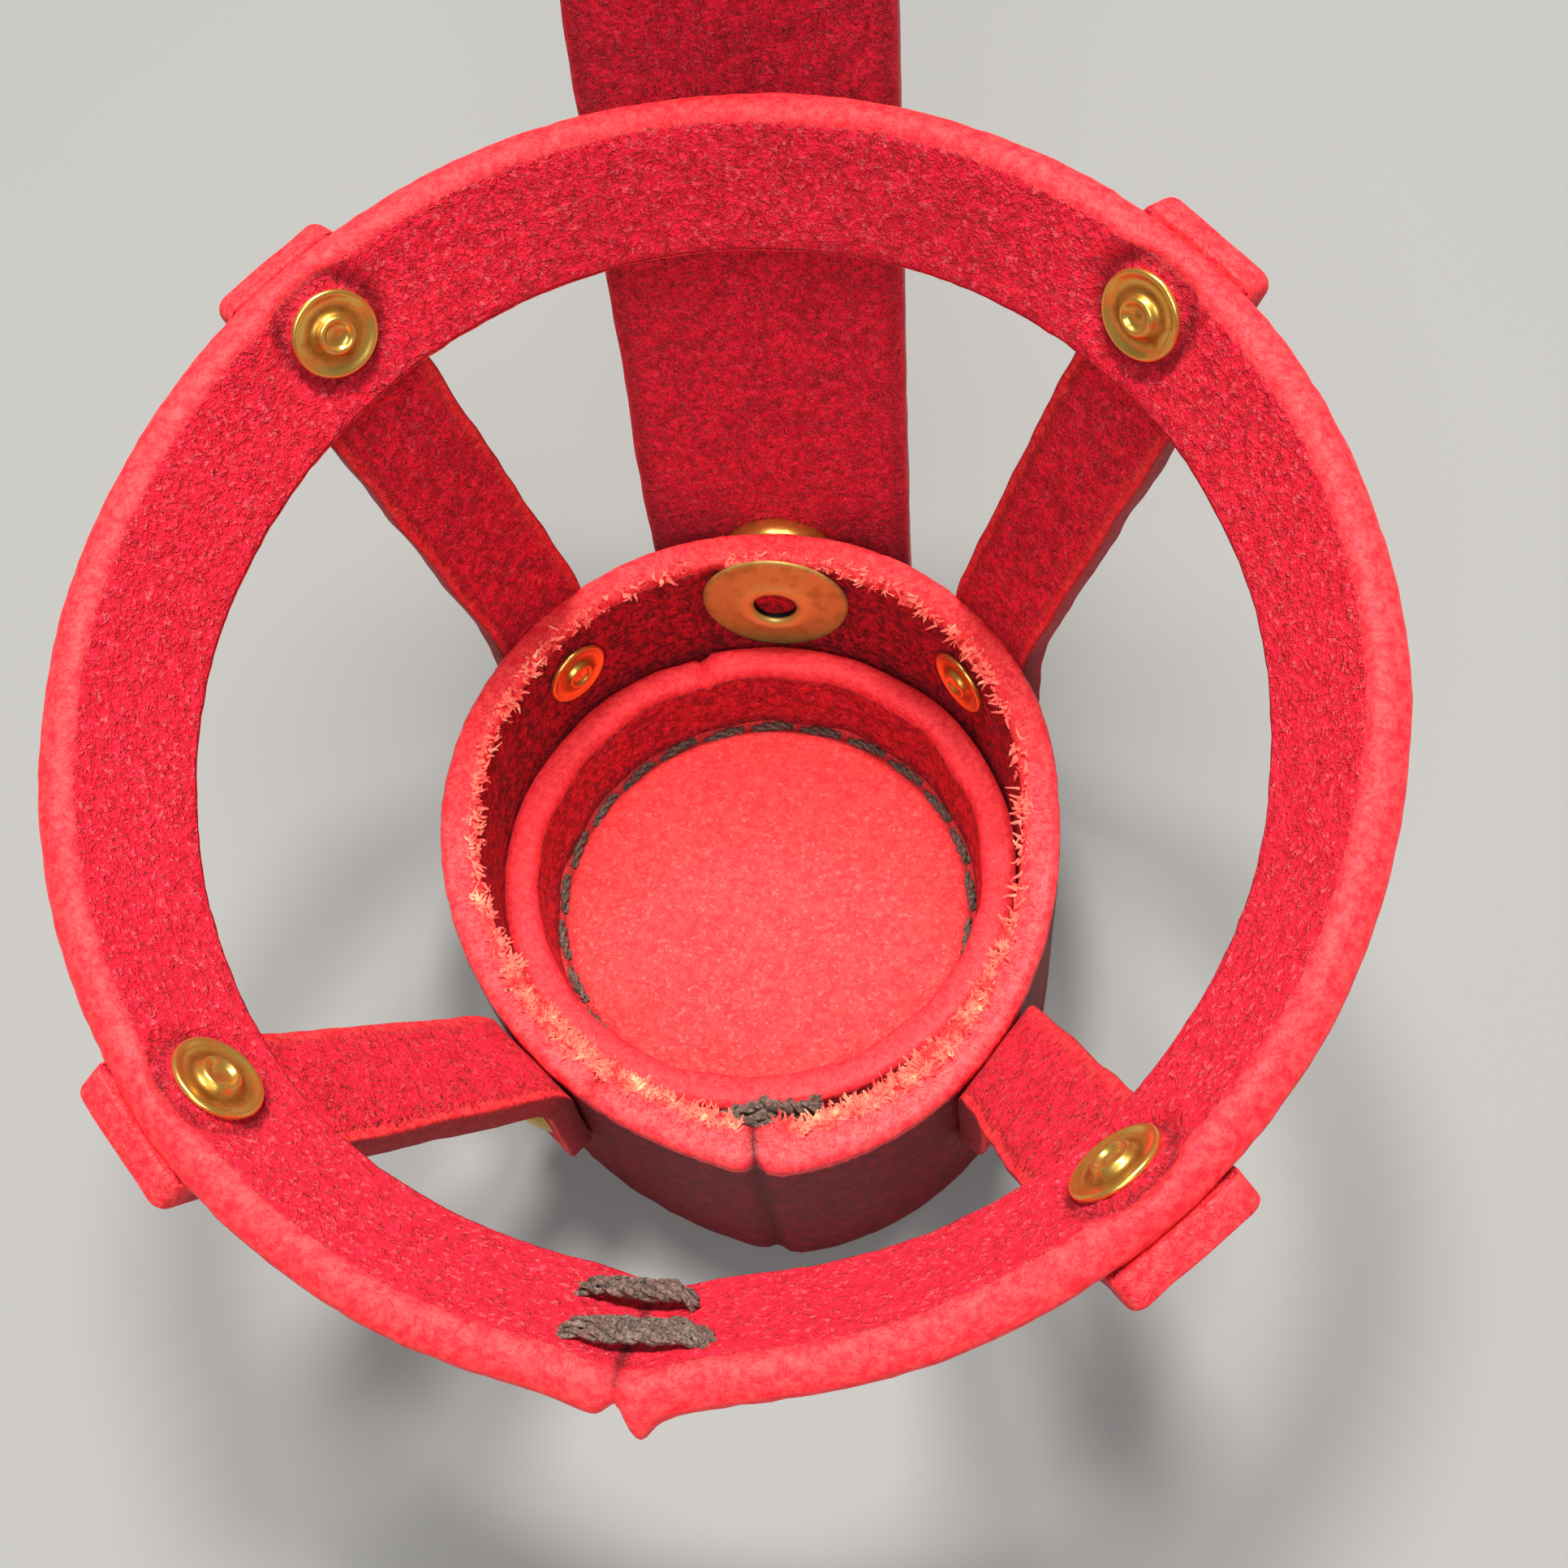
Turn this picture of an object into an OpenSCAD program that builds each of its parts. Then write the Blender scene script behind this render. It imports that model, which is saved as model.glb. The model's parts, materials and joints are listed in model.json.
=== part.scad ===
// Leather ring-and-cup carrier on a snap-on belt hanger, in millimetres.
// +Z is up along the cup's axis, +Y is the hanger's side, and the origin is under the middle of the base.

/* [Leather] */
// Thickness of the cup, liner, base and hoop leather
leather_t = 3.2; // [2.6:0.1:3.6]
// Thickness of the four narrow straps
strap_t = 2.4; // [1.8:0.1:3]
// Width of the four narrow straps
strap_w = 10; // [8:0.5:12]
// Thickness of the wide hanger strap
hanger_t = 3; // [2.4:0.1:3.6]
// Width of the wide hanger strap
hanger_w = 25; // [22:1:30]
// Corner radius at the cut ends of the straps
corner_r = 1.6; // [1:0.1:3]

/* [Cup] */
// Inside radius of the cup wall
cup_r = 23.9; // [23:0.1:25]
// Height of the cup wall
cup_h = 24.1; // [23:0.1:28]
// How far the round part of the wall sits behind the middle of the base
cup_back = 0.9; // [0:0.1:1.5]
// Distance from the middle of the wall to the outer tip of its front seam
seam_reach = 34.4; // [32:0.1:36]
// Turn of the front seam to the right
seam_turn = 6.7; // [0:0.1:10]
// Height of the liner's rim
liner_h = 12; // [9:0.5:12.5]
// Number of stitches round the foot of the liner
base_stitches = 25; // [12:1:30]
// Radius of the ring of stitches
stitch_ring_r = 19.8; // [18.5:0.1:20]
// Radius of the waxed thread
thread_r = 0.45; // [0.3:0.05:0.5]

/* [Hoop] */
// Outside radius of the hoop's top rim
hoop_r = 44.6; // [43:0.1:47]
// Width of the hoop's band, measured down its slope
hoop_w = 11.2; // [10:0.1:13]
// Angle that the band flares out from the hoop's axis
hoop_flare = 27; // [20:1:32]
// Middle of the hoop's top rim: right, back and up
hoop_at = [2.5, -14.1, 66.85]; // [-20:0.1:80]
// Lean of the hoop towards the front
hoop_tilt = 11.5; // [0:0.5:14]
// Lean of the hoop to the right side
hoop_roll = -1.5; // [-3:0.5:3]

/* [Rivets] */
// Where the hoop's rivets stand round its rim: front left, front right, back left, back right
hoop_turns = [-132, 137, -47, 45]; // [-180:1:180]
// Where the cup's rivets stand round its wall: front left, front right, back left, back right
cup_turns = [-148.7, 135.3, -50, 49]; // [-180:0.1:180]
// Distance from the hoop's rim to its rivets, down the slope
hoop_rivet_drop = 4.9; // [4.5:0.1:5.5]
// Height of the cup's rivets and of the press stud
cup_rivet_h = 18; // [17:0.1:18.5]
// Radius of the flat rivet flange
flange_r = 3.2; // [2.8:0.1:3.5]
// Radius of the domed rivet cap
cap_r = 3.8; // [3.4:0.1:4]
// Radius of the rivet shank
shank_r = 1.5; // [1.2:0.1:1.6]

/* [Hanger] */
// Space between the cup wall and the hanger strap, filled by the press stud
stud_gap = 2.6; // [2.5:0.1:3]
// How far the strap leans back on its way up
hanger_lean = 9.2; // [6:0.1:12]
// Height at which the strap stands upright again
lean_top = 92; // [86:1:96]
// Clear height of the belt loop
loop_h = 42; // [32:1:52]
// Clear depth of the belt loop
loop_gap = 6; // [5:0.5:8]

/* [Hidden] */
$fn = 96;
corners = ["front_left", "front_right", "back_left", "back_right"];
sides = ["left", "right"];

red = "#c4112c";
deep_red = "#9c0d24";
pale_red = "#e0485a";
thread_grey = "#33282b";
brass = "#b8892f";

eps = 0.01;
skin = 0.03;
fit_gap = 0.02;                       // between pieces of leather that touch
seat_gap = 0.15;                      // round a flange in its pressed seat
wall_r = cup_r + leather_t;
liner_r = cup_r - leather_t;
stitch_pitch = 360 / base_stitches;
stitch_share = 0.84;                  // part of each pitch that the thread covers
groove_w = 2 * thread_r + 0.1;
rivet_hole_r = shank_r + 0.1;
strap_foot = 6;                       // strap left below each cup rivet
rivet_grip = leather_t + strap_t;
seam_rows = [3, 8.2];                 // stitch rows across the hoop's seam, down its slope
seam_arc = 14;                        // length of those rows round the hoop, in degrees
seam_thread_r = 0.6;
seam_apex = cup_r * seam_reach / wall_r;
seam_at = 180 - seam_turn;
cup_seam_heights = [14.5, 18, 21.5];
bend_h = cup_rivet_h + 7.5;           // where the hanger starts to lean back, clear of the snap's cap
hanger_y = cup_back + wall_r + stud_gap;
lean_run = (lean_top - bend_h) * tan(hanger_lean);
loop_y = hanger_y + lean_run;
loop_joint = 14;                      // length of the riveted lap under the belt loop
loop_slope = 8;                       // length over which the lap opens out into the loop
lap_top = lean_top + loop_joint;
loop_low = lap_top + loop_slope;
loop_top = loop_low + loop_h;
fold_r = hanger_t + loop_gap / 2;
hanger_foot = cup_rivet_h - 11;
lap_rivet_h = lean_top + loop_joint / 2;
lap_rivet_x = 6.5;
snap_hole_r = 2.3;
eyelet_r = 7;                         // flange of the snap's eyelet

// Frames: +Z runs outwards through the leather from its outer face, and +Y runs down it.
module on_hoop(turn, drop) {
    translate(hoop_at) rotate([hoop_tilt, hoop_roll, 0]) rotate([0, 0, -turn])
        translate([0, hoop_r - drop * sin(hoop_flare), -drop * cos(hoop_flare)])
            rotate([-90 - hoop_flare, 0, 0]) children();
}
module on_cup(turn, height) {
    translate([0, cup_back, 0]) rotate([0, 0, -turn]) translate([0, wall_reach(turn), height])
        rotate([0, 0, wall_skew(turn)]) rotate([-90, 0, 0]) children();
}
module in_hoop() {
    translate(hoop_at) rotate([hoop_tilt, hoop_roll, 0]) children();
}
module at_lap(x) {
    translate([x, loop_y, lap_rivet_h]) rotate([-90, 0, 0]) children();
}

// The wall's outer face: round at the back, and drawn out to a blunt point at the front seam.
function past_seam(turn) = (turn - seam_at + 540) % 360 - 180;
function wall_reach(turn) = let (past = past_seam(turn), draw = seam_reach - wall_r)
    abs(past) >= 90 ? wall_r :
    past > 0 ? seam_reach - draw * pow(sin(past), 0.8) : wall_r + draw * pow(cos(past), 2);
// How far the wall's outward direction turns from the line through its middle.
function wall_skew(turn) = atan((wall_reach(turn + 0.5) - wall_reach(turn - 0.5)) * 180 / PI
    / wall_reach(turn));
// The wall's outline, scaled from its outer face, in short flats.
module teardrop(r) {
    polygon([for (past = [-180:3:177]) let (turn = seam_at + past)
        r / wall_r * wall_reach(turn) * [sin(turn), cos(turn)]]);
}

// A strap end: a flat plate from y = 0 to y = len with two rounded corners at y = 0.
module strap_end(len, w, t) {
    linear_extrude(t) {
        translate([-w / 2, corner_r]) square([w, len - corner_r]);
        translate([corner_r - w / 2, 0]) square([w - 2 * corner_r, 2 * corner_r]);
        for (side = [-1, 1]) translate([side * (w / 2 - corner_r), corner_r]) circle(corner_r);
    }
}

// A thin slice across a strap, a hair inside its faces, for the run between its two ends.
module strap_slice() {
    translate([skin - strap_w / 2, 0, skin]) cube([strap_w - 2 * skin, 0.9, strap_t - 2 * skin]);
}

// A hole through the leather, with a flat seat pressed into the inner face for a flange.
module pressed_hole(hole_r, seat_r) {
    translate([0, 0, -2 * leather_t]) cylinder(r = hole_r, h = 3 * leather_t);
    translate([0, 0, -2 * leather_t]) cylinder(r = seat_r + seat_gap, h = leather_t + fit_gap);
}

module strap_hole() {
    translate([0, 0, -1]) cylinder(r = rivet_hole_r, h = strap_t + 2);
}

module cup_wall_body() {
    difference() {
        translate([0, cup_back]) linear_extrude(cup_h) difference() {
            teardrop(wall_r);
            teardrop(cup_r);
        }
        translate([0, 0, -eps]) cylinder(r = cup_r, h = liner_h + eps);
    }
}

module cup_wall() {
    color(red) difference() {
        cup_wall_body();
        for (turn = cup_turns) on_cup(turn, cup_rivet_h) pressed_hole(rivet_hole_r, flange_r);
        on_cup(0, cup_rivet_h) pressed_hole(snap_hole_r, eyelet_r);
    }
}

// The liner stands on the base.
module cup_liner() {
    color(pale_red) translate([0, 0, leather_t]) linear_extrude(liner_h - leather_t) difference() {
        circle(cup_r - fit_gap, $fn = 180);
        circle(liner_r, $fn = 180);
    }
}

// The channel for the thread, on both faces of the base.
module stitch_channel() {
    for (z = [-eps, leather_t - groove_w]) translate([0, 0, z]) difference() {
        cylinder(r = stitch_ring_r + groove_w / 2, h = groove_w + eps);
        translate([0, 0, -eps]) cylinder(r = stitch_ring_r - groove_w / 2, h = groove_w + 3 * eps);
    }
}
module cup_base() {
    color(pale_red) difference() {
        translate([0, cup_back]) linear_extrude(leather_t) teardrop(cup_r - fit_gap);
        stitch_channel();
    }
}

// Saddle stitch: a run of short threads in the channel on each face.
module base_stitching() {
    color(thread_grey) for (i = [0:base_stitches - 1]) rotate(i * stitch_pitch)
        for (z = [thread_r + 0.02, leather_t - thread_r - 0.02]) translate([0, 0, z])
            rotate_extrude(angle = stitch_pitch * stitch_share)
                translate([stitch_ring_r, 0]) circle(thread_r, $fn = 24);
}

// Threads that tie the two flanks of the cup's seam together, just behind its point.
module cup_seam_stitching() {
    color(thread_grey) difference() {
        for (h = cup_seam_heights) translate([0, cup_back, h]) rotate([0, 0, seam_turn])
            translate([-6, 1 - seam_apex, 0]) rotate([0, 90, 0])
                cylinder(r = seam_thread_r, h = 15, $fn = 24);
        cup_wall_body();
    }
}

module hoop_section(thickness) {
    polygon([for (p = [[0, 0], [hoop_w, 0], [hoop_w, thickness], [0, thickness]])
        [hoop_r - p[0] * sin(hoop_flare) - p[1] * cos(hoop_flare),
         -p[0] * cos(hoop_flare) + p[1] * sin(hoop_flare)]]);
}
module hoop() {
    color(red) difference() {
        in_hoop() rotate_extrude($fn = 180) hoop_section(leather_t);
        for (turn = hoop_turns) on_hoop(turn, hoop_rivet_drop) pressed_hole(rivet_hole_r, flange_r);
    }
}

// Two rows of thread laid across the seam at the hoop's front, inside the band.
module hoop_seam_stitching() {
    depth = leather_t + seam_thread_r;
    color(thread_grey) in_hoop() for (drop = seam_rows) rotate(-90 - seam_arc / 2)
        rotate_extrude(angle = seam_arc, $fn = 180)
            translate([hoop_r - drop * sin(hoop_flare) - depth * cos(hoop_flare),
                       -drop * cos(hoop_flare) + depth * sin(hoop_flare)]) circle(seam_thread_r, $fn = 24);
}

// A narrow strap lies flat on the hoop's outside, runs down, and lies flat on the cup's outside.
module strap(i) {
    top_len = hoop_w + 1.5;
    foot_len = cup_h - cup_rivet_h + strap_foot;
    color(deep_red) difference() {
        union() {
            on_hoop(hoop_turns[i], 0) strap_end(top_len, strap_w, strap_t);
            on_cup(cup_turns[i], cup_rivet_h - strap_foot) rotate(180)
                strap_end(foot_len, strap_w, strap_t);
            hull() {
                on_hoop(hoop_turns[i], 0) translate([0, top_len - 1, 0]) strap_slice();
                on_cup(cup_turns[i], cup_h) translate([0, 0.1, 0]) strap_slice();
            }
        }
        on_hoop(hoop_turns[i], hoop_rivet_drop) strap_hole();
        on_cup(cup_turns[i], cup_rivet_h) strap_hole();
    }
}

// The post of a rivet: a dished flange with a raised ring, and a shank through the leather.
module rivet_post(grip) {
    color(brass) rotate_extrude(convexity = 4) polygon([
        [0, grip + 0.5], [shank_r, grip + 0.5], [shank_r, 0], [flange_r, 0], [flange_r + 0.05, -0.2],
        [flange_r - 0.15, -0.45], [flange_r - 0.45, -0.45], [flange_r * 0.55, -0.3], [1.45, -0.7],
        [1.3, -0.85], [1.1, -0.8], [0.9, -0.5], [0, -0.45]
    ]);
}
module rivet_cap() {
    bore = shank_r + 0.05;
    dome_h = 1.3;
    ball_r = (cap_r * cap_r + dome_h * dome_h) / (2 * dome_h);
    color(brass) difference() {
        intersection() {
            translate([0, 0, dome_h - ball_r]) sphere(ball_r);
            cylinder(r = cap_r + 1, h = dome_h + 1);
        }
        translate([0, 0, -eps]) cylinder(r = bore, h = 0.6);
    }
}
module hoop_rivet_post(i) {
    on_hoop(hoop_turns[i], hoop_rivet_drop) translate([0, 0, -leather_t]) rivet_post(rivet_grip);
}
module hoop_rivet_cap(i) {
    on_hoop(hoop_turns[i], hoop_rivet_drop) translate([0, 0, strap_t]) rivet_cap();
}
module cup_rivet_post(i) {
    on_cup(cup_turns[i], cup_rivet_h) translate([0, 0, -leather_t]) rivet_post(rivet_grip);
}
module cup_rivet_cap(i) {
    on_cup(cup_turns[i], cup_rivet_h) translate([0, 0, strap_t]) rivet_cap();
}

// Press stud, from the inside of the cup outwards; z = 0 is the wall's outer face.
module snap_eyelet() {
    color(brass) on_cup(0, cup_rivet_h) translate([0, 0, -leather_t]) rotate_extrude() polygon([
        [1.5, -0.2], [1.75, -0.75], [2.3, -0.95], [3.2, -0.8], [eyelet_r - 0.4, -0.3], [eyelet_r, -0.15],
        [eyelet_r, 0],
        [2.1, 0], [2.1, leather_t + 0.9], [1.5, leather_t + 0.9]
    ]);
}
module snap_stud() {
    color(brass) on_cup(0, cup_rivet_h) rotate_extrude() polygon([
        [2.15, 0], [4.6, 0], [4.6, 0.4], [2.75, 0.5], [2.75, 1.5], [2.95, 1.65], [2.95, 1.85], [2.75, 2],
        [2.15, 2]
    ]);
}
module snap_spring() {
    color(brass) on_cup(0, cup_rivet_h) translate([0, 0, 1.3]) rotate(20)
        rotate_extrude(angle = 320) translate([3.35, 0]) circle(0.3, $fn = 24);
}
module snap_socket() {
    color(brass) on_cup(0, cup_rivet_h) rotate_extrude() polygon([
        [3.3, 0.55], [5.4, 0.55], [5.7, 0.9], [5.7, stud_gap], [2, stud_gap], [2, stud_gap - 0.3],
        [4.3, stud_gap - 0.3], [4.3, 0.9], [3.3, 0.9]
    ]);
}
module snap_cap() {
    t = hanger_t;
    color(brass) on_cup(0, cup_rivet_h) translate([0, 0, stud_gap]) rotate_extrude() polygon([
        [0, t + 0.3], [1.5, t + 0.3], [1.5, -0.3], [1.9, -0.3], [1.9, t], [6.9, t], [6.8, t + 0.4],
        [5.5, t + 1], [3, t + 1.45], [0, t + 1.6]
    ]);
}

// The hanger's side view: up from the snap, leaning back, then folded over into a belt loop.
function fold(r) = [for (a = [180:-6:0]) [loop_y + fold_r + r * cos(a), loop_top + r * sin(a)]];
module hanger_side() {
    back = loop_y + hanger_t;
    difference() {
        polygon(concat(
            [[hanger_y, hanger_foot], [hanger_y, bend_h], [loop_y, lean_top]],
            fold(fold_r),
            [[loop_y + 2 * fold_r, loop_low], [back + hanger_t, lap_top - 2],
             [back + hanger_t, lean_top + 1], [back, lean_top + 1], [back, lean_top],
             [hanger_y + hanger_t, bend_h], [hanger_y + hanger_t, hanger_foot]]
        ));
        polygon(concat([[back, lap_top]], fold(loop_gap / 2), [[back + loop_gap, loop_low]]));
    }
}
module hanger_strap() {
    color(red) difference() {
        translate([hanger_w / 2, 0, 0]) rotate([90, 0, -90]) mirror([1, 0, 0])
            linear_extrude(hanger_w) hanger_side();
        on_cup(0, cup_rivet_h) cylinder(r = 2, h = 3 * hanger_t);
        for (x = [-lap_rivet_x, lap_rivet_x]) at_lap(x) translate([0, 0, -1])
            cylinder(r = rivet_hole_r, h = 2 * hanger_t + 2);
    }
}
module loop_rivet_post(i) {
    at_lap((2 * i - 1) * lap_rivet_x) rivet_post(2 * hanger_t);
}
module loop_rivet_cap(i) {
    at_lap((2 * i - 1) * lap_rivet_x) translate([0, 0, 2 * hanger_t]) rivet_cap();
}

cup_wall();
cup_liner();
cup_base();
base_stitching();
cup_seam_stitching();
hoop();
hoop_seam_stitching();
snap_eyelet();
snap_stud();
snap_spring();
snap_socket();
snap_cap();
hanger_strap();
for (i = [0:3]) {
    strap(i);
    hoop_rivet_post(i);
    hoop_rivet_cap(i);
    cup_rivet_post(i);
    cup_rivet_cap(i);
}
for (i = [0:1]) {
    loop_rivet_post(i);
    loop_rivet_cap(i);
}
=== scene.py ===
import json
import math
import random

import bmesh
import bpy
from mathutils import Matrix, Vector, noise

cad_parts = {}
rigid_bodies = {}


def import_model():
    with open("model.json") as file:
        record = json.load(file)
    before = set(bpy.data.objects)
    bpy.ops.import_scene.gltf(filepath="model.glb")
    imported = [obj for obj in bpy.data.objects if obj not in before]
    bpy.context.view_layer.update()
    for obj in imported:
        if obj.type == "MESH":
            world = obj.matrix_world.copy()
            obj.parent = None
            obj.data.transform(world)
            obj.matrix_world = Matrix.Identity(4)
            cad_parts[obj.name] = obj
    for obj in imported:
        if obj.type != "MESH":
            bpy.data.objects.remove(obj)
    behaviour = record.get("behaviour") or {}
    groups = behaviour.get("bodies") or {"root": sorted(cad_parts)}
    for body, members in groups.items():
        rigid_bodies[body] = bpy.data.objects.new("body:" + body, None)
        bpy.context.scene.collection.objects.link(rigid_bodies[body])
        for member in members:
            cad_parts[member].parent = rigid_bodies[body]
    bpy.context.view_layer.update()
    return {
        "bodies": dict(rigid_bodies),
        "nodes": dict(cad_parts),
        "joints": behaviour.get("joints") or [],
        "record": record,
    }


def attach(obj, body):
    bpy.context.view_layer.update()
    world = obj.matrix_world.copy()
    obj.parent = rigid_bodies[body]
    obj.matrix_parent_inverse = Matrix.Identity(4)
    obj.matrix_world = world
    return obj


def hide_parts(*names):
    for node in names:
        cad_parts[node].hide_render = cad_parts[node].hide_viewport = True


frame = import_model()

random.seed(11)
mm = 0.001  # pieces are modelled in millimetres and scaled as they are finished
creaseAngle = 50  # edges sharper than this are not shaded smooth

corners = ["front_left", "front_right", "back_left", "back_right"]
leather = {"thick": 3.2, "strapThick": 2.4, "strapWide": 10.0}


def turned(degrees, axis):
    return Matrix.Rotation(math.radians(degrees), 4, axis)


def moved(x, y, z):
    return Matrix.Translation((x, y, z))


def eased(value):
    value = max(0.0, min(1.0, value))
    return value * value * (3 - 2 * value)


def hump(distance, width):
    return math.exp(-(distance / width) ** 2)


def rgb(red, green, blue):
    return tuple((c / 255 / 12.92) if c <= 10 else ((c / 255 + 0.055) / 1.055) ** 2.4
                 for c in (red, green, blue)) + (1.0,)


class Value:  # arithmetic on one adds Math nodes
    def __init__(self, finish, socket):
        self.finish, self.socket = finish, socket

    def math(self, operation, first, second=0.0):
        return self.finish.node("ShaderNodeMath", {"operation": operation}, {0: first, 1: second})

    def __add__(self, other):
        return self.math("ADD", self, other)

    def __sub__(self, other):
        return self.math("SUBTRACT", self, other)

    def __rsub__(self, other):
        return self.math("SUBTRACT", other, self)

    def __mul__(self, other):
        return self.math("MULTIPLY", self, other)

    def __abs__(self):
        return self.math("ABSOLUTE", self)

    __radd__ = __add__
    __rmul__ = __mul__

    def between(self, low, high):
        return self.finish.node("ShaderNodeMapRange", {"interpolation_type": "SMOOTHSTEP"},
                                {0: self, 1: low, 2: high})


class Finish:
    def __init__(self, name):
        self.material = bpy.data.materials.new(name)
        self.material.use_nodes = True
        self.tree = self.material.node_tree
        self.shader = self.tree.nodes["Principled BSDF"]
        self.place = self.node("ShaderNodeTexCoord", output="Object")

    def feed(self, socket, value):
        if isinstance(value, Value):
            self.tree.links.new(value.socket, socket)
        else:
            socket.default_value = value

    def node(self, kind, settings=None, sockets=None, output=0):
        made = self.tree.nodes.new(kind)
        for key, setting in (settings or {}).items():
            setattr(made, key, setting)
        for key, value in (sockets or {}).items():
            self.feed(made.inputs[key], value)
        return Value(self, made.outputs[output])

    def attribute(self, name):
        return self.node("ShaderNodeAttribute", {"attribute_name": name}, output="Fac")

    def noise(self, size, detail=3.0, rough=0.55, warp=0.0, stretch=(1, 1, 1)):
        # size is the pattern's width in millimetres
        where = self.node("ShaderNodeMapping", None, {"Vector": self.place, "Scale": stretch})
        return self.node("ShaderNodeTexNoise", None,
                         {"Vector": where, "Scale": 1000 / size, "Detail": detail,
                          "Roughness": rough, "Distortion": warp})

    def hairs(self, size, warp, width):
        # thin wandering lines, 1 along their middle
        return 1 - abs(self.noise(size, 2.0, 0.5, warp) - 0.5).between(0.0, width)

    def mix(self, amount, first, second):
        return self.node("ShaderNodeMix", {"data_type": "RGBA"},
                         {0: amount, 6: first, 7: second}, 2)

    def bump(self, height, depth, below=None):
        # depth in millimetres
        sockets = {"Height": height, "Distance": depth * mm, "Strength": 1.0}
        if below:
            sockets["Normal"] = below
        return self.node("ShaderNodeBump", None, sockets)

    def set(self, **sockets):
        for key, value in sockets.items():
            self.feed(self.shader.inputs[key.replace("_", " ")], value)
        return self.material


def dyedLeather(name, tints):
    # attributes: cut is 1 on burnished edges, flesh is 1 on the napped side, shade is 1 where
    # shade is painted in: creases, grooves, gaps, corners and shaded edges
    made = Finish(name)
    cut, flesh, shade = (made.attribute(word) for word in ("cut", "flesh", "shade"))
    clumps = made.noise(tints["clump"], 3.0, 0.6, 0.5)
    flecks = made.noise(tints["fleck"], 3.0, 0.65, 0.4)
    pits = made.noise(tints["fleck"] * 1.3, 4.0, 0.7, 1.0, (1.3, 0.9, 1))
    hairs = made.hairs(tints["hair"], tints["curl"], 0.035)
    wisps = made.hairs(tints["hair"] * 0.6, tints["curl"] * 1.3, 0.05)

    nap = made.mix(clumps.between(0.38, 0.6), tints["dark"], tints["nap"])
    nap = made.mix(pits.between(0.46, 0.33) * tints["pitAmount"], nap, tints["deep"])
    nap = made.mix(flecks.between(0.54, 0.68) * tints["fleckAmount"], nap, tints["light"])
    nap = made.mix(hairs * wisps.between(0.0, 0.4) * tints["hairAmount"], nap, tints["light"])

    grain = made.mix(clumps.between(0.35, 0.7), tints["grainDark"], tints["grain"])
    grain = made.mix(flecks.between(0.6, 0.75) * 0.2, grain, tints["dark"])

    mottle = made.noise(0.7, 5.0, 0.75)
    edge = made.mix(mottle.between(0.36, 0.66), tints["rim"], tints["rimLight"])
    edge = made.mix(pits.between(0.42, 0.3) * 0.5, edge, tints["dark"])
    ragged = (cut + (flecks - 0.5) * tints["ragged"] + (clumps - 0.5) * 0.5).between(0.35, 0.7)

    colour = made.mix(flesh, grain, nap)
    colour = made.mix(ragged, colour, edge)
    # painted shade: the colour darkens towards the deep tint where the shade attribute is set
    colour = made.mix(shade * 0.85, colour, tints["deep"])

    height = clumps * 0.6 + flecks * 0.5 + pits * 0.35 + hairs * tints["hairAmount"] * 0.5
    normal = made.bump(height * (flesh * (1 - ragged * 0.88) + 0.04), tints["napDepth"])
    normal = made.bump(made.noise(0.3, 3.0, 0.6), 0.04, normal)
    rough = 0.6 + flesh * 0.15 - ragged * 0.15 + flecks * 0.1
    return made.set(Base_Color=colour, Roughness=rough, Normal=normal, Specular_IOR_Level=0.3,
                    Sheen_Weight=tints["sheen"], Sheen_Roughness=0.5, Sheen_Tint=tints["light"])


reds = {
    "nap": rgb(250, 22, 56), "dark": rgb(214, 4, 40), "light": rgb(255, 106, 114),
    "deep": rgb(84, 0, 12), "grain": rgb(200, 12, 38), "grainDark": rgb(164, 6, 28),
    "rim": rgb(222, 22, 38), "rimLight": rgb(244, 62, 64), "clump": 0.9, "fleck": 0.5,
    "fleckAmount": 0.55, "pitAmount": 0.45, "curl": 1.4, "hair": 1.3, "hairAmount": 0.35,
    "ragged": 1.1, "napDepth": 0.85, "sheen": 0.04,
}
hoopLeather = dyedLeather("hoop leather", reds)
strapLeather = dyedLeather("strap leather", {
    **reds, "nap": rgb(252, 20, 54), "dark": rgb(206, 4, 40), "light": rgb(255, 104, 110),
    "clump": 1.3, "fleck": 0.6, "curl": 2.6, "hair": 1.6, "hairAmount": 0.9, "napDepth": 0.9,
    "fleckAmount": 0.35, "ragged": 0.5})
hangerLeather = dyedLeather("hanger leather", {
    **reds, "nap": rgb(250, 18, 54), "dark": rgb(206, 4, 42), "light": rgb(255, 100, 112),
    "clump": 1.1, "fleck": 0.5, "curl": 2.4, "hair": 1.3, "hairAmount": 0.85, "napDepth": 0.8,
    "fleckAmount": 0.3, "rim": rgb(176, 8, 32), "rimLight": rgb(214, 30, 50), "ragged": 0.5})
# the cup's grain side is darkened: partly its own dark glossy red, partly painted shade on the
# outer wall
cupLeather = dyedLeather("cup leather", {
    **reds, "nap": rgb(206, 6, 34), "dark": rgb(120, 0, 16), "light": rgb(236, 50, 66),
    "fleckAmount": 0.4, "hairAmount": 0.8, "curl": 2.2, "rim": rgb(214, 28, 42),
    "rimLight": rgb(240, 70, 70), "grain": rgb(128, 6, 22), "grainDark": rgb(92, 2, 14),
    "ragged": 0.8})
linerLeather = dyedLeather("liner leather", {
    **reds, "nap": rgb(222, 24, 46), "dark": rgb(160, 2, 26), "light": rgb(250, 84, 90),
    "rim": rgb(206, 28, 42), "rimLight": rgb(230, 56, 60), "ragged": 0.5})
baseLeather = dyedLeather("base leather", {
    **reds, "nap": rgb(248, 62, 62), "dark": rgb(238, 46, 52), "light": rgb(255, 104, 98),
    "pitAmount": 0.12, "napDepth": 0.3, "fleckAmount": 0.6, "hairAmount": 0.4, "hair": 2.4})
print("leather finishes made")


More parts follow.
